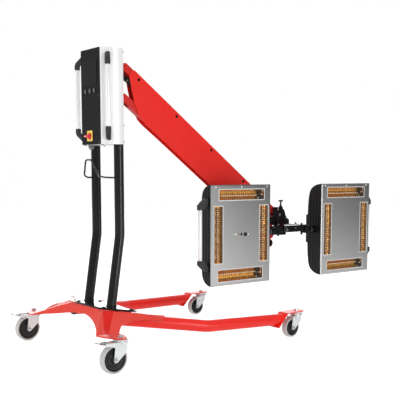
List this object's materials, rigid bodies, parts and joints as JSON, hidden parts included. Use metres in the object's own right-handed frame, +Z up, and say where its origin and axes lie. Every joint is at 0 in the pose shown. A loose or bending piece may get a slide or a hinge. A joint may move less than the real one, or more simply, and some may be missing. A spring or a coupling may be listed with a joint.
{
  "type": "infrared paint curing lamp",
  "caption": "Mobile infrared paint curing lamp: splayed caster base, bent twin mast with a control box, parallel lift arm and swivelling head with lamp cassettes.",
  "frame": {"origin": "middle of the bounding box on the floor", "axes": "+X forward from the mast towards the lamps, +Y to the lamp's left, +Z up"},
  "size_m": [2.0392, 0.87, 1.4044],
  "materials": {
    "red_paint": "gloss powder coat",
    "black_paint": "satin black powder coat",
    "black_shell": "black powder coat",
    "panel_black": "satin black",
    "silver": "satin anodised",
    "face_grey": "brushed sheet",
    "gold": "gold-plated reflector",
    "charcoal_plastic": "moulded",
    "black_plastic": "moulded plug",
    "grey_plastic": "moulded",
    "window": "gloss dark window",
    "yellow": "moulded",
    "switch_red": "moulded",
    "zinc": "zinc plate",
    "hub": "moulded",
    "tyre": "grey rubber"
  },
  "bodies": {
    "base": {"rear_cross_member": "red_paint", "leg_tube_left": "red_paint", "leg_tube_right": "red_paint", "leg_end_cap_left": "black_plastic", "leg_end_cap_right": "black_plastic", "base_plate": "black_paint", "mast_tube_left": "black_paint", "mast_tube_right": "black_paint", "cable_hook": "black_paint", "control_housing": "silver", "rear_panel": "panel_black", "display_window": "window", "switch_plate": "yellow", "cable_gland": "grey_plastic", "power_unit": "silver", "handle_bracket_upper_left": "charcoal_plastic", "handle_bracket_upper_right": "charcoal_plastic", "handle_bracket_lower_left": "charcoal_plastic", "handle_bracket_lower_right": "charcoal_plastic", "handle_tube_left": "silver", "handle_tube_right": "silver", "column_bracket": "black_paint"},
    "upper_arm": {"upper_arm_bar": "red_paint", "arm_cover_left": "red_paint", "arm_cover_right": "red_paint"},
    "lower_arm": {"lower_arm_bar": "red_paint"},
    "end_link": {"end_link": "red_paint"},
    "gas_cylinder": {"gas_spring_cylinder": "black_paint"},
    "gas_rod": {"gas_spring_rod": "zinc"},
    "head": {"swivel_head": "black_paint"},
    "lock_pin": {"lock_pin": "zinc"},
    "cross_bar": {"cross_bar": "black_paint"},
    "knuckle_inner": {"knuckle_inner": "black_paint"},
    "knuckle_outer": {"knuckle_outer": "black_paint"},
    "main_switch": {"main_switch_knob": "switch_red"},
    "button_1": {"push_button_1": "grey_plastic"},
    "button_2": {"push_button_2": "grey_plastic"},
    "button_3": {"push_button_3": "grey_plastic"},
    "cassette_inner": {"cassette_shell_inner": "black_shell", "cassette_face_inner": "face_grey", "lamp_tray_inner": "gold", "cassette_handle_inner": "charcoal_plastic"},
    "cassette_outer": {"cassette_shell_outer": "black_shell", "cassette_face_outer": "face_grey", "lamp_tray_outer": "gold", "cassette_handle_outer": "charcoal_plastic"},
    "rear_left_swivel": {"rear_left_fork": "zinc"},
    "rear_left_wheel": {"rear_left_hub": "hub", "rear_left_tyre": "tyre"},
    "rear_left_pedal": {"rear_left_brake_pedal": "zinc"},
    "rear_right_swivel": {"rear_right_fork": "zinc"},
    "rear_right_wheel": {"rear_right_hub": "hub", "rear_right_tyre": "tyre"},
    "rear_right_pedal": {"rear_right_brake_pedal": "zinc"},
    "front_left_swivel": {"front_left_fork": "zinc"},
    "front_left_wheel": {"front_left_hub": "hub", "front_left_tyre": "tyre"},
    "front_right_swivel": {"front_right_fork": "zinc"},
    "front_right_wheel": {"front_right_hub": "hub", "front_right_tyre": "tyre"}
  },
  "joints": [
    {"name": "rear_left_caster_swivel", "type": "hinge", "parent": "base", "child": "rear_left_swivel", "pos_m": [-0.8955, 0.401, 0.1], "axis": [0, 0, 1], "continuous": true},
    {"name": "rear_left_wheel_spin", "type": "hinge", "parent": "rear_left_swivel", "child": "rear_left_wheel", "pos_m": [-0.9325, 0.401, 0.0625], "axis": [0, 1, 0], "continuous": true},
    {"name": "rear_left_brake", "type": "hinge", "parent": "rear_left_swivel", "child": "rear_left_pedal", "pos_m": [-0.9775, 0.401, 0.1325], "axis": [0, -1, 0], "range_deg": [0, 14]},
    {"name": "rear_right_caster_swivel", "type": "hinge", "parent": "base", "child": "rear_right_swivel", "pos_m": [-0.8955, -0.401, 0.1], "axis": [0, 0, 1], "continuous": true},
    {"name": "rear_right_wheel_spin", "type": "hinge", "parent": "rear_right_swivel", "child": "rear_right_wheel", "pos_m": [-0.9325, -0.401, 0.0625], "axis": [0, 1, 0], "continuous": true},
    {"name": "rear_right_brake", "type": "hinge", "parent": "rear_right_swivel", "child": "rear_right_pedal", "pos_m": [-0.9775, -0.401, 0.1325], "axis": [0, -1, 0], "range_deg": [0, 14]},
    {"name": "front_left_caster_swivel", "type": "hinge", "parent": "base", "child": "front_left_swivel", "pos_m": [0.1935, 0.3906, 0.1], "axis": [0, 0, 1], "continuous": true},
    {"name": "front_left_wheel_spin", "type": "hinge", "parent": "front_left_swivel", "child": "front_left_wheel", "pos_m": [0.1529, 0.3906, 0.05], "axis": [0, 1, 0], "continuous": true},
    {"name": "front_right_caster_swivel", "type": "hinge", "parent": "base", "child": "front_right_swivel", "pos_m": [0.1935, -0.3906, 0.1], "axis": [0, 0, 1], "continuous": true},
    {"name": "front_right_wheel_spin", "type": "hinge", "parent": "front_right_swivel", "child": "front_right_wheel", "pos_m": [0.1529, -0.3906, 0.05], "axis": [0, 1, 0], "continuous": true},
    {"name": "main_switch_turn", "type": "hinge", "parent": "base", "child": "main_switch", "pos_m": [-0.7837, 0.008, 1.01], "axis": [1, 0, 0], "range_deg": [0, 90]},
    {"name": "button_1_press", "type": "slide", "parent": "base", "child": "button_1", "axis": [1, 0, 0], "range_m": [0, 0.0015], "stiffness_N_per_m": 500, "springref_m": -0.0006},
    {"name": "button_2_press", "type": "slide", "parent": "base", "child": "button_2", "axis": [1, 0, 0], "range_m": [0, 0.0015], "stiffness_N_per_m": 500, "springref_m": -0.0006},
    {"name": "button_3_press", "type": "slide", "parent": "base", "child": "button_3", "axis": [1, 0, 0], "range_m": [0, 0.0015], "stiffness_N_per_m": 500, "springref_m": -0.0006},
    {"name": "arm_lift", "type": "hinge", "parent": "base", "child": "upper_arm", "pos_m": [-0.6005, 0, 1.3395], "axis": [0, -1, 0], "range_deg": [-10, 60]},
    {"name": "lower_arm_swing", "type": "hinge", "parent": "base", "child": "lower_arm", "pos_m": [-0.6085, 0, 1.1977], "axis": [0, -1, 0], "range_deg": [-10, 60]},
    {"name": "end_link_level", "type": "hinge", "parent": "upper_arm", "child": "end_link", "pos_m": [0.39044, 0, 0.63163], "axis": [0, -1, 0], "range_deg": [-60, 10]},
    {"name": "gas_spring_swing", "type": "hinge", "parent": "base", "child": "gas_cylinder", "pos_m": [-0.6105, 0, 1.3], "axis": [0, -1, 0], "range_deg": [-11, 61]},
    {"name": "gas_spring_stroke", "type": "slide", "parent": "gas_cylinder", "child": "gas_rod", "axis": [0.8136, 0, -0.5814], "range_m": [-0.00788, 0.04228]},
    {"name": "head_swivel", "type": "hinge", "parent": "end_link", "child": "head", "pos_m": [0.39044, 0, 0.56], "axis": [0, 0, 1], "range_deg": [-2, 110]},
    {"name": "lock_pin_pull", "type": "slide", "parent": "head", "child": "lock_pin", "axis": [0, 0, 1], "range_m": [0, 0.008], "stiffness_N_per_m": 400, "springref_m": -0.004},
    {"name": "head_roll", "type": "hinge", "parent": "head", "child": "cross_bar", "pos_m": [0.3838, -0.1592, 0.5355], "axis": [0.0727, 0.9974, 0], "range_deg": [-90, 90]},
    {"name": "knuckle_outer_yaw", "type": "hinge", "parent": "cross_bar", "child": "knuckle_outer", "pos_m": [0.47017, -0.1655, 0.5238], "axis": [0, 0, 1], "range_deg": [-60, 30]},
    {"name": "knuckle_inner_yaw", "type": "hinge", "parent": "cross_bar", "child": "knuckle_inner", "pos_m": [0.29743, -0.1529, 0.5238], "axis": [0, 0, 1], "range_deg": [-2, 60]},
    {"name": "cassette_outer_tilt", "type": "hinge", "parent": "knuckle_outer", "child": "cassette_outer", "pos_m": [0.3838, -0.1592, 0.5238], "axis": [0.9974, -0.0727, 0], "range_deg": [-60, 60]},
    {"name": "cassette_inner_tilt", "type": "hinge", "parent": "knuckle_inner", "child": "cassette_inner", "pos_m": [0.3838, -0.1592, 0.5238], "axis": [0.9974, -0.0727, 0], "range_deg": [-20, 60]}
  ],
  "couplings": [
    {"joint": "lower_arm_swing", "follows": "arm_lift", "ratio": 1},
    {"joint": "end_link_level", "follows": "arm_lift", "ratio": -1},
    {"joint": "gas_spring_swing", "follows": "arm_lift", "ratio": 0.99851},
    {"joint": "gas_spring_stroke", "follows": "arm_lift", "m_per_rad": 0.03942}
  ]
}
